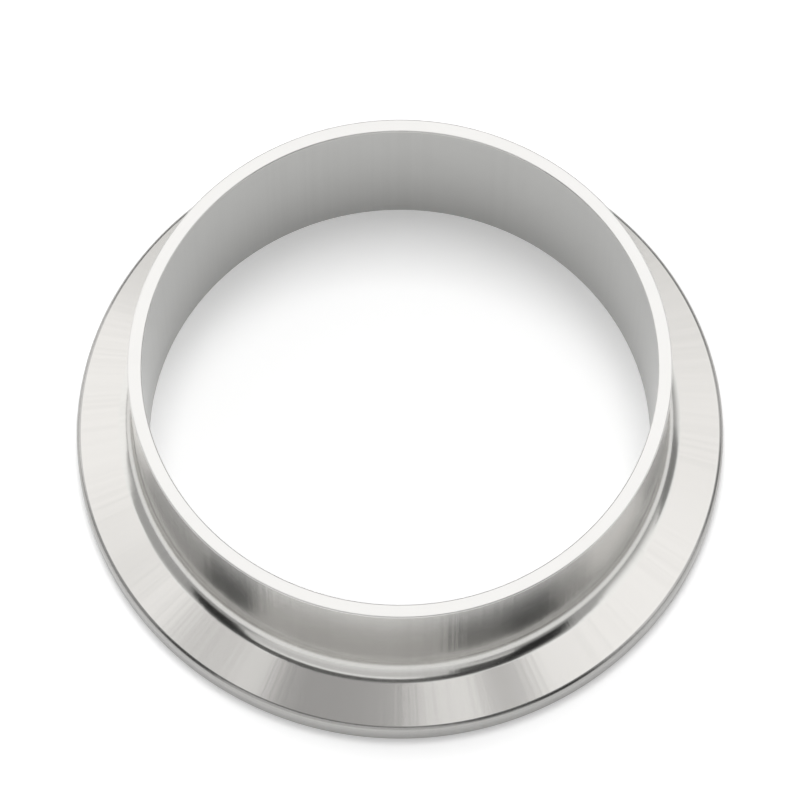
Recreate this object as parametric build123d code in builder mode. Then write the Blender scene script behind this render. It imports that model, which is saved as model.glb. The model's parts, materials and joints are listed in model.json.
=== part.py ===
"""Sanitary clamp ferrule: a short tube stub that opens at its root into a round clamp flange.

The whole ferrule is turned from one piece of stainless steel, so it is one solid of revolution about Z.
It stands on its gasket face, which lies on the plane z = 0. The tube rises along +Z to the end that is
welded to a pipe. All sizes are in millimetres.
"""

from build123d import *

import os
from math import radians, sqrt, tan

# ---- Tube stub ----
tube_diameter = 63.5  # outside of the tube, the same as the pipe it is welded to
tube_wall = 1.65
ferrule_height = 21.5  # gasket face to weld end

# ---- Clamp flange ----
flange_reach = 7.0  # how far the rim stands out from the tube
rim_thickness = 2.85  # gasket face to the line where the bevel and the rim would meet
bevel_angle = 20.0  # slope of the clamp bevel above the gasket face, in degrees
root_radius = 2.8  # fillet from the tube down into the bevel
rim_radius = 0.8  # rounding between the bevel and the rim
face_break = 0.3  # chamfer between the rim and the gasket face

# ---- Gasket groove ----
groove_inset = 3.5  # rim to the middle of the groove
groove_depth = 1.6
groove_radius = 2.4  # round section of the groove
groove_lip_break = 0.15  # small chamfers where the groove meets the face

# ---- Sizes that follow from those above ----
tube_outer = tube_diameter / 2
bore = tube_outer - tube_wall
flange_outer = tube_outer + flange_reach
bevel_slope = tan(radians(bevel_angle))
bevel_top = rim_thickness + flange_reach * bevel_slope  # where the bevel would meet the tube
groove_line = flange_outer - groove_inset
groove_centre_height = groove_depth - groove_radius
groove_half_width = sqrt(groove_radius**2 - groove_centre_height**2)


def corner(section, x, z):
    """The corner of a section sketch that lies at x across and z up."""
    return section.vertices().sort_by_distance((x, z))[0]


# The half section is drawn to the right of the axis, x across and z up, and turned once around it.
with BuildPart() as ferrule:
    with BuildSketch(Plane.XZ) as section:
        with BuildLine():
            Polyline(
                (bore, 0),
                (flange_outer, 0),
                (flange_outer, rim_thickness),
                (tube_outer, bevel_top),
                (tube_outer, ferrule_height),
                (bore, ferrule_height),
                close=True,
            )
        make_face()

        # Turned corners, from the tube down to the face. The weld end stays square, to butt against its pipe,
        # and so does the corner of bore and face, where the gasket lies flush and no product is trapped.
        fillet(corner(section, tube_outer, bevel_top), root_radius)
        fillet(corner(section, flange_outer, rim_thickness), rim_radius)
        chamfer(corner(section, flange_outer, 0), face_break)

        # The groove that seats the gasket's bead, with both of its lips broken.
        with Locations((groove_line, groove_centre_height)):
            Circle(groove_radius, mode=Mode.SUBTRACT)
        for side in (-1, 1):
            chamfer(corner(section, groove_line + side * groove_half_width, 0), groove_lip_break)
    revolve(axis=Axis.Z)

ferrule.part.label = "clamp_ferrule"
ferrule.part.color = Color(0.80, 0.79, 0.77)

os.makedirs("parts", exist_ok=True)
export_step(ferrule.part, "parts/clamp_ferrule.step")
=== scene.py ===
"""Dress and light a sanitary clamp ferrule, turned in one piece from stainless steel.

The ferrule stands on its gasket face on a white table, inside a light tent, and the camera looks down into
its bore. Lengths that a maker would know are written in millimetres and turned to metres once.
"""

import json
import logging
import math
from dataclasses import dataclass
from enum import Enum
from typing import Any, Iterator

import bmesh
import bpy
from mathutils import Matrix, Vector


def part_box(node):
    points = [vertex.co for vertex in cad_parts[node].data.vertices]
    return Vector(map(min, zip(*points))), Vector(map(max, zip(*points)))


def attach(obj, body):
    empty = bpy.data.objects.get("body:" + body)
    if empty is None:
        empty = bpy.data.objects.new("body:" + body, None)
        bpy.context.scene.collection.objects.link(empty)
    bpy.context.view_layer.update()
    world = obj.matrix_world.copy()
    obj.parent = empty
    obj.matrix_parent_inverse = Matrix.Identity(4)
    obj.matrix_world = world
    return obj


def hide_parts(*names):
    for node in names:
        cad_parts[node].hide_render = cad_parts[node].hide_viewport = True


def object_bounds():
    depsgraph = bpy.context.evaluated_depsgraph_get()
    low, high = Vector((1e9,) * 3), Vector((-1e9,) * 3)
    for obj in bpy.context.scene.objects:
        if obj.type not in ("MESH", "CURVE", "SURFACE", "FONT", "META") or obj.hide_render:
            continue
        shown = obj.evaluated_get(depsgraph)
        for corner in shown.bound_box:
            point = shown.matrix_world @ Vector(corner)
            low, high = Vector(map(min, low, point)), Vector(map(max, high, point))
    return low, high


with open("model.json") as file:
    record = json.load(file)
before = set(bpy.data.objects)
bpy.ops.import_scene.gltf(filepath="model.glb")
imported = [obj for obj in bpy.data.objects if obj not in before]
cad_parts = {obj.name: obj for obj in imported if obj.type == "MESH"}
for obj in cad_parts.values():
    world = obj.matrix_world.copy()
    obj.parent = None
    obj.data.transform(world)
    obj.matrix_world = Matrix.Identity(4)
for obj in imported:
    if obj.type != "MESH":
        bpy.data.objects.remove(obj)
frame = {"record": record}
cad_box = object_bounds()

log = logging.getLogger("ferrule")

MM = 0.001

Point = tuple[float, float]
Colour = tuple[float, float, float, float]

WHITE: Colour = (1.0, 1.0, 1.0, 1.0)

# The Mix node keeps a set of sockets for each type of data. These are the numbers of its colour sockets.
MIX_FIRST = 6
MIX_SECOND = 7
MIX_RESULT = 2


def linear(hex_colour: str) -> Colour:
    """Turn an sRGB hex colour into the linear colour that a shader takes.

    Args:
        hex_colour: Six hex digits, with or without a leading #.

    Returns:
        Red, green, blue and an alpha of one.
    """
    digits = hex_colour.lstrip("#")
    channels = (int(digits[i:i + 2], 16) / 255 for i in (0, 2, 4))
    # The numbers are those of the sRGB curve: a straight toe, and a power above it.
    red, green, blue = (c / 12.92 if c <= 0.04045 else ((c + 0.055) / 1.055) ** 2.4 for c in channels)
    return (red, green, blue, 1.0)


def add_node(tree: bpy.types.NodeTree, kind: str, settings: dict[str | int, Any] | None = None,
             links: dict[str | int, bpy.types.NodeSocket] | None = None) -> bpy.types.Node:
    """Add one node to a tree, set it up and link it.

    Args:
        tree: The node tree of a material or of the world.
        kind: The node's type name.
        settings: Properties of the node by name, or values of its input sockets by name or number.
        links: Output sockets of other nodes, by the name or number of the input that takes them.

    Returns:
        The new node.
    """
    node = tree.nodes.new(kind)
    for name, value in (settings or {}).items():
        if str(name) in node.bl_rna.properties:
            setattr(node, name, value)
        else:
            node.inputs[name].default_value = value
    for name, source in (links or {}).items():
        tree.links.new(source, node.inputs[name])
    return node


def empty_material(name: str) -> bpy.types.Material:
    """Make a material with nodes and clear its tree."""
    material = bpy.data.materials.new(name)
    material.use_nodes = True
    material.node_tree.nodes.clear()
    return material


class Zone(Enum):
    """The surfaces of the ferrule that were finished in a way of their own, by material slot."""

    BORE = 0
    WELD_END = 1
    TUBE = 2
    ROOT = 3
    BEVEL = 4
    RIM = 5
    GASKET_FACE = 6


@dataclass(frozen=True)
class Stretch:
    """A smooth run of the half section, as points (radius, height) in metres, and the zone that it sweeps."""

    zone: Zone
    points: list[Point]


def arc(centre: Point, radius: float, start: float, end: float, steps: int) -> list[Point]:
    """Points along a round stretch of the section.

    Args:
        centre: Radius and height of the arc's centre.
        radius: Radius of the arc.
        start: Direction from the centre to the first point, in degrees from outward, towards up.
        end: Direction from the centre to the last point.
        steps: How many chords the arc gets.

    Returns:
        One point more than there are steps.
    """
    turns = (math.radians(start + (end - start) * i / steps) for i in range(steps + 1))
    return [(centre[0] + radius * math.cos(t), centre[1] + radius * math.sin(t)) for t in turns]


@dataclass(frozen=True)
class TurnedSteel:
    """Austenitic stainless steel, turned on a lathe and then rubbed down along its circles.

    To the eye it is a slightly warm grey mirror, blurred across the tool marks and hardly along them. So
    lights turn into streaks that run along the tube and fan out over the flange.

    Attributes:
        name: What the shop calls this finish.
        colour: sRGB hex of the clean metal.
        streak: sRGB hex of the duller metal in the streaks that the rubbing leaves.
        roughness: Mean roughness of the surface.
        smear: Anisotropy, from 0 for an even satin to 1 for a brushed streak.
        mark_pitch: Distance between tool marks, in millimetres. The real feed of about 0.1 mm is too fine to
            show, so it is drawn coarser.
        mark_depth: Height of the tool marks, in millimetres.
        flute_count: How many faint flutes the rubbing leaves round the part. 360 of them are 0.55 mm wide
            on the tube, and 300 are 0.7 to 0.8 mm wide on the bevel.
        flute_depth: Height of those flutes, in millimetres.
        cloudiness: Share by which the roughness drifts over the surface, from handling and polishing.
        flute_detail: How many times the flutes split into finer ones.
        patch_count: How many patches the streaks gather in, round the part. 24 are about 8 mm wide on the
            tube.
        cloud_size: Width of a cloud of duller metal, in millimetres.
        streak_start: Noise of the flutes from which the metal is duller.
        streak_full: Noise of the flutes from which it is dullest.
        patch_start: Noise of the patches from which the streaks grow stronger.
        patch_full: Noise of the patches from which they are at full strength.
        least_streak: Strength of the streaks between the patches.
        smear_turn: Share of a full turn that lays the blur across the tool marks.
    """

    name: str
    colour: str
    streak: str
    roughness: float
    smear: float
    mark_pitch: float
    mark_depth: float
    flute_count: float
    flute_depth: float
    cloudiness: float
    flute_detail: float = 3.0
    patch_count: float = 24.0
    cloud_size: float = 18.0
    streak_start: float = 0.4
    streak_full: float = 0.6
    patch_start: float = 0.42
    patch_full: float = 0.62
    least_streak: float = 0.2
    smear_turn: float = 0.25

    def material(self) -> bpy.types.Material:
        """Build the shader of this finish."""
        material = empty_material(self.name)
        tree = material.node_tree

        place = add_node(tree, "ShaderNodeTexCoord")
        split = add_node(tree, "ShaderNodeSeparateXYZ", links={0: place.outputs["Object"]})
        flat = add_node(tree, "ShaderNodeCombineXYZ",
                        links={"X": split.outputs["X"], "Y": split.outputs["Y"]})
        radius = add_node(tree, "ShaderNodeVectorMath", {"operation": "LENGTH"}, {0: flat.outputs[0]})
        # Radius less height changes along every surface, so the marks follow one another on all of them.
        across = add_node(tree, "ShaderNodeMath", {"operation": "SUBTRACT"},
                          {0: radius.outputs["Value"], 1: split.outputs["Z"]})
        round_it = add_node(tree, "ShaderNodeVectorMath", {"operation": "NORMALIZE"}, {0: flat.outputs[0]})

        marks = add_node(tree, "ShaderNodeTexNoise",
                         {"noise_dimensions": "1D", "Scale": 1 / (self.mark_pitch * MM), "Detail": 1.0},
                         {"W": across.outputs[0]})
        mark_bump = add_node(tree, "ShaderNodeBump", {"Strength": 1.0, "Distance": self.mark_depth * MM},
                             {"Height": marks.outputs["Fac"]})
        flutes = add_node(tree, "ShaderNodeTexNoise",
                          {"Scale": self.flute_count / math.tau, "Detail": self.flute_detail,
                           "Roughness": 0.6},
                          {"Vector": round_it.outputs[0]})
        flute_bump = add_node(tree, "ShaderNodeBump", {"Strength": 1.0, "Distance": self.flute_depth * MM},
                              {"Height": flutes.outputs["Fac"], "Normal": mark_bump.outputs[0]})

        cloud = add_node(tree, "ShaderNodeTexNoise", {"Scale": 1 / (self.cloud_size * MM), "Detail": 3.0},
                         {"Vector": place.outputs["Object"]})
        drift = add_node(tree, "ShaderNodeMapRange",
                         {"To Min": self.roughness * (1 - self.cloudiness),
                          "To Max": self.roughness * (1 + self.cloudiness)},
                         {"Value": cloud.outputs["Fac"]})

        dull = add_node(tree, "ShaderNodeMapRange",
                        {"From Min": self.streak_start, "From Max": self.streak_full},
                        {"Value": flutes.outputs["Fac"]})
        patch = add_node(tree, "ShaderNodeTexNoise", {"Scale": self.patch_count / math.tau, "Detail": 1.0},
                         {"Vector": round_it.outputs[0]})
        rubbed = add_node(tree, "ShaderNodeMapRange",
                          {"interpolation_type": "SMOOTHSTEP", "From Min": self.patch_start,
                           "From Max": self.patch_full, "To Min": self.least_streak},
                          {"Value": patch.outputs["Fac"]})
        streaked = add_node(tree, "ShaderNodeMath", {"operation": "MULTIPLY"},
                            {0: dull.outputs[0], 1: rubbed.outputs[0]})
        metal = add_node(tree, "ShaderNodeMix",
                         {"data_type": "RGBA", MIX_FIRST: linear(self.colour),
                          MIX_SECOND: linear(self.streak)},
                         {0: streaked.outputs[0]})
        tangent = add_node(tree, "ShaderNodeTangent", {"direction_type": "RADIAL", "axis": "Z"})
        shader = add_node(tree, "ShaderNodeBsdfPrincipled",
                          {"Metallic": 1.0, "Anisotropic": self.smear,
                           "Anisotropic Rotation": self.smear_turn},
                          {"Base Color": metal.outputs[MIX_RESULT], "Roughness": drift.outputs[0],
                           "Normal": flute_bump.outputs[0], "Tangent": tangent.outputs[0]})
        add_node(tree, "ShaderNodeOutputMaterial", links={"Surface": shader.outputs[0]})
        return material


@dataclass(frozen=True)
class ClampFerrule:
    """The ferrule as one turned piece: tube stub, root fillet, clamp flange and gasket groove.

    Lengths are in metres and angles in degrees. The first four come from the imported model, and the rest are
    those that the maker turned it to.

    Attributes:
        bore_radius: Axis to the inside of the tube.
        tube_radius: Axis to the outside of the tube.
        flange_radius: Axis to the rim.
        height: Gasket face to weld end.
        rim_thickness: Gasket face to the line where bevel and rim would meet.
        bevel_angle: Slope of the bevel above the gasket face.
        root_radius: Fillet from the tube into the bevel.
        rim_radius: Rounding between bevel and rim.
        face_break: Chamfer between rim and gasket face.
        end_rounding: Rounding of the deburred corners of the weld end.
        groove_inset: Rim to the middle of the gasket groove.
        groove_depth: Depth of the groove.
        groove_radius: Radius of the groove's round section.
        groove_lip_break: Chamfer at the lips of the groove.
        segments: How many flat faces go round the part.
        arc_steps: Chords in each fillet and rounding. The groove has twice as many.
        edge_steps: Chords in each rounded corner of the weld end.
        sharp_angle: Edges that turn by more than this stay sharp.
    """

    bore_radius: float
    tube_radius: float
    flange_radius: float
    height: float
    rim_thickness: float = 2.85 * MM
    bevel_angle: float = 20.0
    root_radius: float = 2.8 * MM
    rim_radius: float = 0.8 * MM
    face_break: float = 0.3 * MM
    end_rounding: float = 0.2 * MM
    groove_inset: float = 3.5 * MM
    groove_depth: float = 1.6 * MM
    groove_radius: float = 2.4 * MM
    groove_lip_break: float = 0.15 * MM
    segments: int = 480
    arc_steps: int = 14
    edge_steps: int = 8
    sharp_angle: float = 15.0

    @classmethod
    def from_frame(cls, record: dict[str, Any], node: str) -> "ClampFerrule":
        """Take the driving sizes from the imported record's mounts and the node's own box.

        Args:
            record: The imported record.
            node: The CAD node that the ferrule stands for.

        Returns:
            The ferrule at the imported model's size.
        """
        radii = {m["name"]: m["dims"].get("r_mm", 0.0) * MM for m in record["mounts"]}
        low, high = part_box(node)
        return cls(radii["bore"], radii["tube_end"], radii["clamp_rim"], high.z - low.z)

    def section(self) -> Iterator[Stretch]:
        """Walk once round the half section: up the bore, over the weld end, down to the rim and back."""
        slope = math.radians(self.bevel_angle)
        bevel_top = self.rim_thickness + (self.flange_radius - self.tube_radius) * math.tan(slope)
        run_out = math.tan(math.pi / 4 + slope / 2)
        root_height = bevel_top + self.root_radius / run_out
        rim_height = self.rim_thickness - self.rim_radius / run_out
        end_height = self.height - self.end_rounding
        inner_edge = arc((self.bore_radius + self.end_rounding, end_height), self.end_rounding, 180.0, 90.0,
                         self.edge_steps)
        outer_edge = arc((self.tube_radius - self.end_rounding, end_height), self.end_rounding, 90.0, 0.0,
                         self.edge_steps)

        yield Stretch(Zone.BORE, [(self.bore_radius, 0.0), inner_edge[0]])
        yield Stretch(Zone.WELD_END, inner_edge)
        yield Stretch(Zone.WELD_END, [inner_edge[-1], outer_edge[0]])
        yield Stretch(Zone.WELD_END, outer_edge)

        root = arc((self.tube_radius + self.root_radius, root_height), self.root_radius, 180.0,
                   270.0 - self.bevel_angle, self.arc_steps)
        rim = arc((self.flange_radius - self.rim_radius, rim_height), self.rim_radius,
                  90.0 - self.bevel_angle, 0.0, self.arc_steps)
        yield Stretch(Zone.TUBE, [outer_edge[-1], root[0]])
        yield Stretch(Zone.ROOT, root)
        yield Stretch(Zone.BEVEL, [root[-1], rim[0]])
        # The rounding takes the rim's finish, whose darker colour is painted shade that also dims the
        # rounding's highlight.
        yield Stretch(Zone.RIM, rim)
        face_edge = (self.flange_radius - self.face_break, 0.0)
        yield Stretch(Zone.RIM, [rim[-1], (self.flange_radius, self.face_break)])
        yield Stretch(Zone.RIM, [(self.flange_radius, self.face_break), face_edge])

        middle = (self.flange_radius - self.groove_inset, self.groove_depth - self.groove_radius)
        mouth = math.degrees(math.asin(-middle[1] / self.groove_radius))
        lip_turn = math.degrees(self.groove_lip_break / self.groove_radius)
        groove = arc(middle, self.groove_radius, mouth + lip_turn, 180.0 - mouth - lip_turn,
                     2 * self.arc_steps)
        half_width = self.groove_radius * math.cos(math.radians(mouth)) + self.groove_lip_break
        outer_lip, inner_lip = (middle[0] + half_width, 0.0), (middle[0] - half_width, 0.0)
        yield Stretch(Zone.GASKET_FACE, [face_edge, outer_lip])
        yield Stretch(Zone.GASKET_FACE, [outer_lip, groove[0]])
        yield Stretch(Zone.GASKET_FACE, groove)
        yield Stretch(Zone.GASKET_FACE, [groove[-1], inner_lip])
        yield Stretch(Zone.GASKET_FACE, [inner_lip, (self.bore_radius, 0.0)])

    def build(self, name: str, finishes: dict[Zone, TurnedSteel]) -> bpy.types.Object:
        """Turn the section round the axis and dress each zone.

        Args:
            name: The piece's name.
            finishes: The finish of each zone.

        Returns:
            The ferrule as one closed mesh.
        """
        mesh = bpy.data.meshes.new(name)
        form = bmesh.new()
        points: list[Point] = []
        zones: list[Zone] = []
        # Each stretch ends on the point that the next one starts on, and the last on the very first.
        for stretch in self.section():
            points += stretch.points[:-1]
            zones += [stretch.zone] * (len(stretch.points) - 1)

        turns = [math.tau * i / self.segments for i in range(self.segments)]
        rings = [[form.verts.new((r * math.cos(t), r * math.sin(t), z)) for t in turns] for r, z in points]
        for ring, (low, zone) in enumerate(zip(rings, zones)):
            high = rings[(ring + 1) % len(rings)]
            for i in range(self.segments):
                after = (i + 1) % self.segments
                face = form.faces.new((low[i], high[i], high[after], low[after]))
                face.material_index = zone.value
                face.smooth = True
        bmesh.ops.recalc_face_normals(form, faces=form.faces)
        form.to_mesh(mesh)
        form.free()
        mesh.set_sharp_from_angle(angle=math.radians(self.sharp_angle))

        for zone in Zone:
            mesh.materials.append(finishes[zone].material())
        piece = bpy.data.objects.new(name, mesh)
        bpy.context.scene.collection.objects.link(piece)
        normals = piece.modifiers.new("even_normals", "WEIGHTED_NORMAL")
        normals.keep_sharp = True
        return piece


@dataclass(frozen=True)
class Table:
    """The white table top that the ferrule stands on.

    It is a matt laminate. The camera and the metal see it a little brighter than it is lit, so that it turns
    plain white away from the ferrule and keeps the shadow beside it.

    Attributes:
        radius: Metres from the ferrule to the table's edge.
        sides: How many sides the round top has.
        colour: sRGB hex of the laminate.
        roughness: Roughness of the laminate.
        glow: Brightness that the camera and the metal see on top of the light on it.
    """

    radius: float = 3.0
    sides: int = 96
    colour: str = "#F4F4F4"
    roughness: float = 0.9
    glow: float = 0.25

    def build(self) -> bpy.types.Object:
        """Lay the table top at the height of the ferrule's foot."""
        mesh = bpy.data.meshes.new("table")
        form = bmesh.new()
        bmesh.ops.create_circle(form, cap_ends=True, segments=self.sides, radius=self.radius)
        form.to_mesh(mesh)
        form.free()
        mesh.materials.append(self.material())
        table = bpy.data.objects.new("table", mesh)
        table.location.z = cad_box[0].z
        bpy.context.scene.collection.objects.link(table)
        return table

    def material(self) -> bpy.types.Material:
        """Build the matt white laminate, which spreads the light and mirrors nothing."""
        material = empty_material("white_laminate")
        tree = material.node_tree
        ray = add_node(tree, "ShaderNodeLightPath")
        mirrored = add_node(tree, "ShaderNodeMath", {"operation": "MAXIMUM"},
                            {0: ray.outputs["Is Camera Ray"], 1: ray.outputs["Is Glossy Ray"]})
        seen = add_node(tree, "ShaderNodeMath", {"operation": "MAXIMUM"},
                        {0: mirrored.outputs[0], 1: ray.outputs["Is Transmission Ray"]})
        glow = add_node(tree, "ShaderNodeMath", {"operation": "MULTIPLY", 1: self.glow}, {0: seen.outputs[0]})
        shader = add_node(tree, "ShaderNodeBsdfPrincipled",
                          {"Base Color": linear(self.colour), "Roughness": self.roughness,
                           "Specular IOR Level": 0.0, "Emission Color": WHITE},
                          {"Emission Strength": glow.outputs[0]})
        add_node(tree, "ShaderNodeOutputMaterial", links={"Surface": shader.outputs[0]})
        return material


@dataclass(frozen=True)
class Card:
    """A flat card that hangs in the light tent and shows in the metal. The camera alone looks past it.

    Attributes:
        name: What the card stands for.
        azimuth: Direction from the ferrule, in degrees from -Y towards +X.
        elevation: Degrees above the table.
        width: Angle that the card fills from side to side, in degrees.
        tall: Angle that it fills from foot to top, in degrees.
        brightness: How bright it looks, where 1 is white paper in the tent.
        distance: Metres from the ferrule.
    """

    name: str
    azimuth: float
    elevation: float
    width: float
    tall: float
    brightness: float
    distance: float = 1.5

    def build(self) -> bpy.types.Object:
        """Hang the card, facing the ferrule."""
        half_width = self.distance * math.tan(math.radians(self.width / 2))
        half_height = self.distance * math.tan(math.radians(self.tall / 2))
        mesh = bpy.data.meshes.new(self.name)
        corners = [(-half_width, -half_height, 0), (half_width, -half_height, 0),
                   (half_width, half_height, 0), (-half_width, half_height, 0)]
        mesh.from_pydata(corners, [], [(0, 1, 2, 3)])
        mesh.materials.append(self.material())
        card = bpy.data.objects.new(self.name, mesh)
        bpy.context.scene.collection.objects.link(card)
        outward = direction(self.azimuth, self.elevation)
        card.location = outward * self.distance
        card.rotation_euler = outward.to_track_quat("Z", "Y").to_euler()
        card.visible_camera = False
        return card

    def material(self) -> bpy.types.Material:
        """Build the card's own plain brightness."""
        material = empty_material(self.name)
        tree = material.node_tree
        glow = add_node(tree, "ShaderNodeEmission", {"Strength": self.brightness})
        add_node(tree, "ShaderNodeOutputMaterial", links={"Surface": glow.outputs[0]})
        return material


def direction(azimuth: float, elevation: float) -> Vector:
    """Unit vector towards an azimuth, counted from -Y towards +X, and an elevation, both in degrees."""
    turn, tilt = math.radians(azimuth), math.radians(elevation)
    return Vector((math.sin(turn) * math.cos(tilt), -math.cos(turn) * math.cos(tilt), math.sin(tilt)))


@dataclass(frozen=True)
class LightTent:
    """A white tent lit through its roof: its walls are dim at their foot and brighten towards the top.

    Its cards give it the dark opening that the camera looks in by, and walls with gaps between them.

    Attributes:
        horizon: Brightness at the foot of the walls, where 1 is white.
        roof: Brightness of the roof.
        roof_foot: Elevation up to which the walls are as dark as at their foot, in degrees.
        roof_full: Elevation from which the tent is as bright as its roof, in degrees.
        spill: Share of the tent's light that falls on matt things. The lamp gives them the rest.
        backdrop: Brightness that the camera sees past the table.
        cards: What hangs in the tent and shows in the metal. Each row gives a card's name, azimuth,
            elevation, width, tall, brightness and distance.
    """

    horizon: float = 0.5
    roof: float = 1.42
    roof_foot: float = 0.0
    roof_full: float = 50.0
    spill: float = 0.36
    backdrop: float = 1.0
    cards: tuple[Card, ...] = (
        # The dark opening round the camera, and the parts of the roof beside it.
        Card("camera_side", -6.0, 55.0, 76.0, 20.0, 0.12),
        Card("camera_arm", 30.0, 51.0, 18.0, 14.0, 0.05, 1.4),
        Card("camera_left", -22.0, 70.0, 20.0, 14.0, 0.5, 1.4),
        Card("camera_right", 44.0, 68.0, 7.5, 10.0, 0.45, 1.4),
        Card("camera_flap", 50.0, 49.0, 18.0, 12.0, 0.4, 1.7),
        Card("roof_seam", -66.0, 62.0, 12.0, 14.0, 0.95, 1.4),
        # The front wall, below the opening.
        Card("front_panel", -8.0, 18.0, 64.0, 40.0, 0.8, 1.8),
        Card("front_foot", -8.0, 7.0, 52.0, 14.0, 0.92, 1.75),
        # The left wall, and the gap between it and the front one.
        Card("left_gap", -55.0, 32.0, 17.0, 36.0, 0.02, 1.6),
        Card("left_gap_top", -57.0, 48.0, 12.0, 12.0, 0.06, 1.5),
        Card("left_gap_foot", -53.0, 4.0, 20.0, 16.0, 0.45, 1.5),
        Card("left_wall", -78.0, 27.0, 34.0, 36.0, 0.53, 1.7),
        Card("left_wall_top", -77.0, 47.0, 20.0, 8.0, 0.75, 1.6),
        Card("left_panel", -118.0, 25.0, 30.0, 40.0, 1.4, 1.7),
        # The right wall, and the gap between it and the front one.
        Card("right_gap", 45.5, 28.0, 17.0, 44.0, 0.02, 1.6),
        Card("right_gap_foot", 46.0, 4.0, 18.0, 16.0, 0.4, 1.5),
        Card("right_gap_edge", 30.0, 34.0, 20.0, 24.0, 0.1, 1.7),
        Card("right_gap_lead", 15.0, 41.5, 8.0, 7.0, 0.5, 1.65),
        Card("right_post", 60.5, 25.0, 13.0, 40.0, 0.55, 1.8),
        Card("right_wall", 104.0, 18.0, 18.0, 34.0, 0.3, 1.7),
        # The dark room behind the table.
        Card("back_gap", 180.0, 12.0, 100.0, 28.0, 0.1, 1.8),
    )

    def build(self) -> None:
        """Set up the tent as the world, and hang the cards."""
        for card in self.cards:
            card.build()
        world = bpy.data.worlds.new("light_tent")
        world.use_nodes = True
        bpy.context.scene.world = world
        tree = world.node_tree
        tree.nodes.clear()
        ray = add_node(tree, "ShaderNodeLightPath")
        place = add_node(tree, "ShaderNodeTexCoord")
        split = add_node(tree, "ShaderNodeSeparateXYZ", links={0: place.outputs["Generated"]})
        glow = add_node(tree, "ShaderNodeMapRange",
                        {"interpolation_type": "SMOOTHSTEP",
                         "From Min": math.sin(math.radians(self.roof_foot)),
                         "From Max": math.sin(math.radians(self.roof_full)),
                         "To Min": self.horizon, "To Max": self.roof},
                        {"Value": split.outputs["Z"]})
        spilt = add_node(tree, "ShaderNodeMath", {"operation": "MULTIPLY", 1: self.spill},
                         {0: glow.outputs[0]})
        shared = add_node(tree, "ShaderNodeMix", {"data_type": "FLOAT"},
                          {"Factor": ray.outputs["Is Diffuse Ray"], "A": glow.outputs[0],
                           "B": spilt.outputs[0]})
        strength = add_node(tree, "ShaderNodeMix", {"data_type": "FLOAT", "B": self.backdrop},
                            {"Factor": ray.outputs["Is Camera Ray"], "A": shared.outputs[0]})
        tent = add_node(tree, "ShaderNodeBackground", {"Color": WHITE}, {"Strength": strength.outputs[0]})
        add_node(tree, "ShaderNodeOutputWorld", links={"Surface": tent.outputs[0]})


@dataclass(frozen=True)
class SoftLamp:
    """A soft box above and behind the ferrule, which lays the bore's shadow on the table.

    Attributes:
        azimuth: Direction of the lamp, in degrees from -Y towards +X.
        elevation: Degrees above the table.
        distance: Metres from the ferrule.
        width: Width of the soft box, in metres.
        depth: Depth of the soft box, in metres.
        power: Watts.
    """

    azimuth: float = 180.0
    elevation: float = 75.0
    distance: float = 1.5
    width: float = 0.5
    depth: float = 0.65
    power: float = 11.5

    def build(self) -> bpy.types.Object:
        """Hang the lamp, facing the ferrule. It isn't mirrored in the metal, which shows the tent alone."""
        data = bpy.data.lights.new("soft_box", "AREA")
        data.shape = "RECTANGLE"
        data.size = self.width
        data.size_y = self.depth
        data.energy = self.power
        lamp = bpy.data.objects.new("soft_box", data)
        bpy.context.scene.collection.objects.link(lamp)
        outward = direction(self.azimuth, self.elevation)
        lamp.location = outward * self.distance
        lamp.rotation_euler = outward.to_track_quat("Z", "Y").to_euler()
        lamp.visible_glossy = False
        return lamp


@dataclass(frozen=True)
class Camera:
    """A long lens that looks down at the ferrule from a little to its right.

    Attributes:
        azimuth: Direction of the camera, in degrees from -Y towards +X.
        elevation: Degrees above the table.
        distance: Metres from the ferrule's middle.
        lens: Focal length, in millimetres.
        sensor: Width of the sensor, in millimetres.
    """

    azimuth: float = 2.4
    elevation: float = 66.5
    distance: float = 0.605
    lens: float = 230.0
    sensor: float = 36.0

    def build(self, target: Vector) -> bpy.types.Object:
        """Set up the camera and make it the scene's own.

        Args:
            target: The point that it looks at.

        Returns:
            The camera object.
        """
        data = bpy.data.cameras.new("camera")
        data.lens = self.lens
        data.sensor_width = self.sensor
        camera = bpy.data.objects.new("camera", data)
        bpy.context.scene.collection.objects.link(camera)
        back = direction(self.azimuth, self.elevation)
        camera.location = target + back * self.distance
        camera.rotation_euler = (-back).to_track_quat("-Z", "Y").to_euler()
        bpy.context.scene.camera = camera
        return camera


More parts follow.
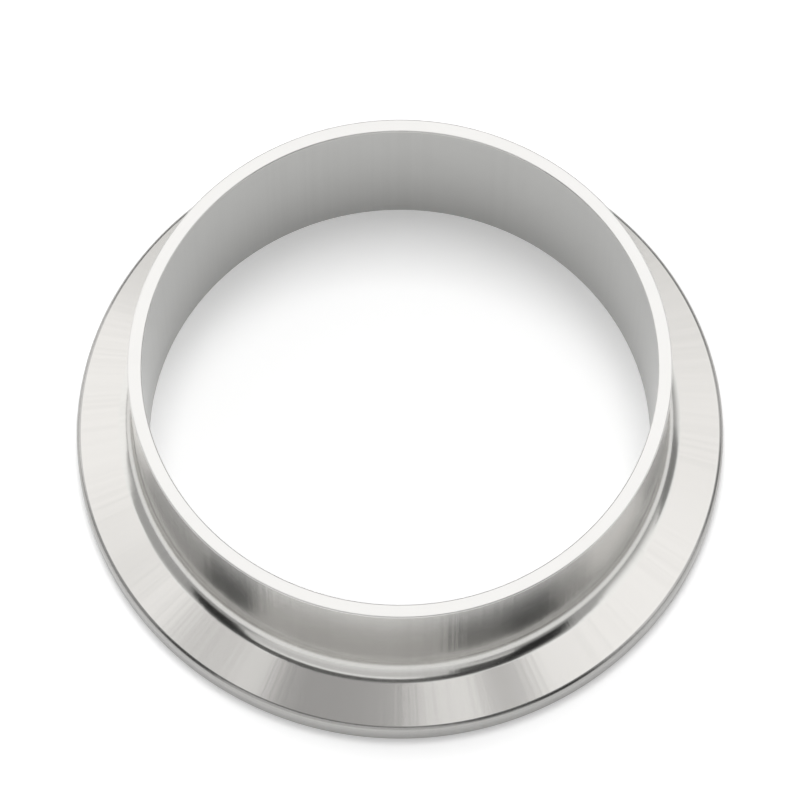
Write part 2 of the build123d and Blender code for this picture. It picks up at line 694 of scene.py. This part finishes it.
FINISHES: dict[Zone, TurnedSteel] = {
    # Rubbed inside with fine abrasive cloth: an even satin grey that blurs what it mirrors both ways.
    Zone.BORE: TurnedSteel(
        "satin_bore_steel", colour="#B6B6B4", streak="#B4B4B2", roughness=0.3, smear=0.3,
        mark_pitch=0.3, mark_depth=0.001, flute_count=200, flute_depth=0.01, cloudiness=0.12),
    # Faced square for the weld: bright, and nearly white under the roof of the tent.
    Zone.WELD_END: TurnedSteel(
        "faced_steel", colour="#D6D5D3", streak="#D5D4D2", roughness=0.3, smear=0.3,
        mark_pitch=0.25, mark_depth=0.001, flute_count=60, flute_depth=0.0, cloudiness=0.15),
    # Belt polished round the tube: dark and bright bands that run from its foot to its top.
    Zone.TUBE: TurnedSteel(
        "polished_tube_steel", colour="#CAC9C6", streak="#C4C3C0", roughness=0.18, smear=0.75,
        mark_pitch=0.3, mark_depth=0.001, flute_count=360, flute_depth=0.05, cloudiness=0.2),
    # Blended with a fine wheel: the smoothest of them, so it squeezes the tent into thin crisp bands.
    Zone.ROOT: TurnedSteel(
        "blended_root_steel", colour="#CCCBC8", streak="#C9C8C5", roughness=0.16, smear=0.5,
        mark_pitch=0.3, mark_depth=0.0003, flute_count=360, flute_depth=0.006, cloudiness=0.2),
    # Fine turned: wide soft fans of light that open towards the rim.
    Zone.BEVEL: TurnedSteel(
        "turned_bevel_steel", colour="#CDCBC8", streak="#CAC8C5", roughness=0.2, smear=0.6,
        mark_pitch=0.25, mark_depth=0.0006, flute_count=300, flute_depth=0.006, cloudiness=0.2,
        flute_detail=1.0),
    # Left as turned, with the rounding above it: duller than the bevel, and darker, a painted shade for the
    # shadowed table that the rim mirrors.
    Zone.RIM: TurnedSteel(
        "turned_rim_steel_painted_shade", colour="#AEADAB", streak="#ABAAA8", roughness=0.22, smear=0.6,
        mark_pitch=0.25, mark_depth=0.001, flute_count=320, flute_depth=0.01, cloudiness=0.2),
    # Fine turned for the gasket, with circles deep enough to show as rings of light and shade.
    Zone.GASKET_FACE: TurnedSteel(
        "turned_face_steel", colour="#CCCAC7", streak="#C8C6C3", roughness=0.22, smear=0.6,
        mark_pitch=0.3, mark_depth=0.002, flute_count=60, flute_depth=0.0, cloudiness=0.15),
}


def main() -> None:
    """Build the ferrule, the table, the tent, the lamp and the camera, and log the ferrule's faces and where
    the camera looks.
    """
    logging.basicConfig(level=logging.INFO, format="%(name)s: %(message)s")
    node = "clamp_ferrule"
    ferrule = ClampFerrule.from_frame(frame["record"], node)
    piece = ferrule.build("turned_ferrule", FINISHES)
    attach(piece, "root")
    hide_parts(node)
    log.info("%s: %d faces", piece.name, len(piece.data.polygons))

    Table().build()
    LightTent().build()
    SoftLamp().build()
    log.info("table, light tent and lamp are up")

    middle = (cad_box[0] + cad_box[1]) / 2
    Camera().build(middle)
    bpy.context.scene.view_settings.view_transform = "Standard"
    log.info("camera looks at %.3f, %.3f, %.3f", *middle)


if __name__ == "__main__":
    main()
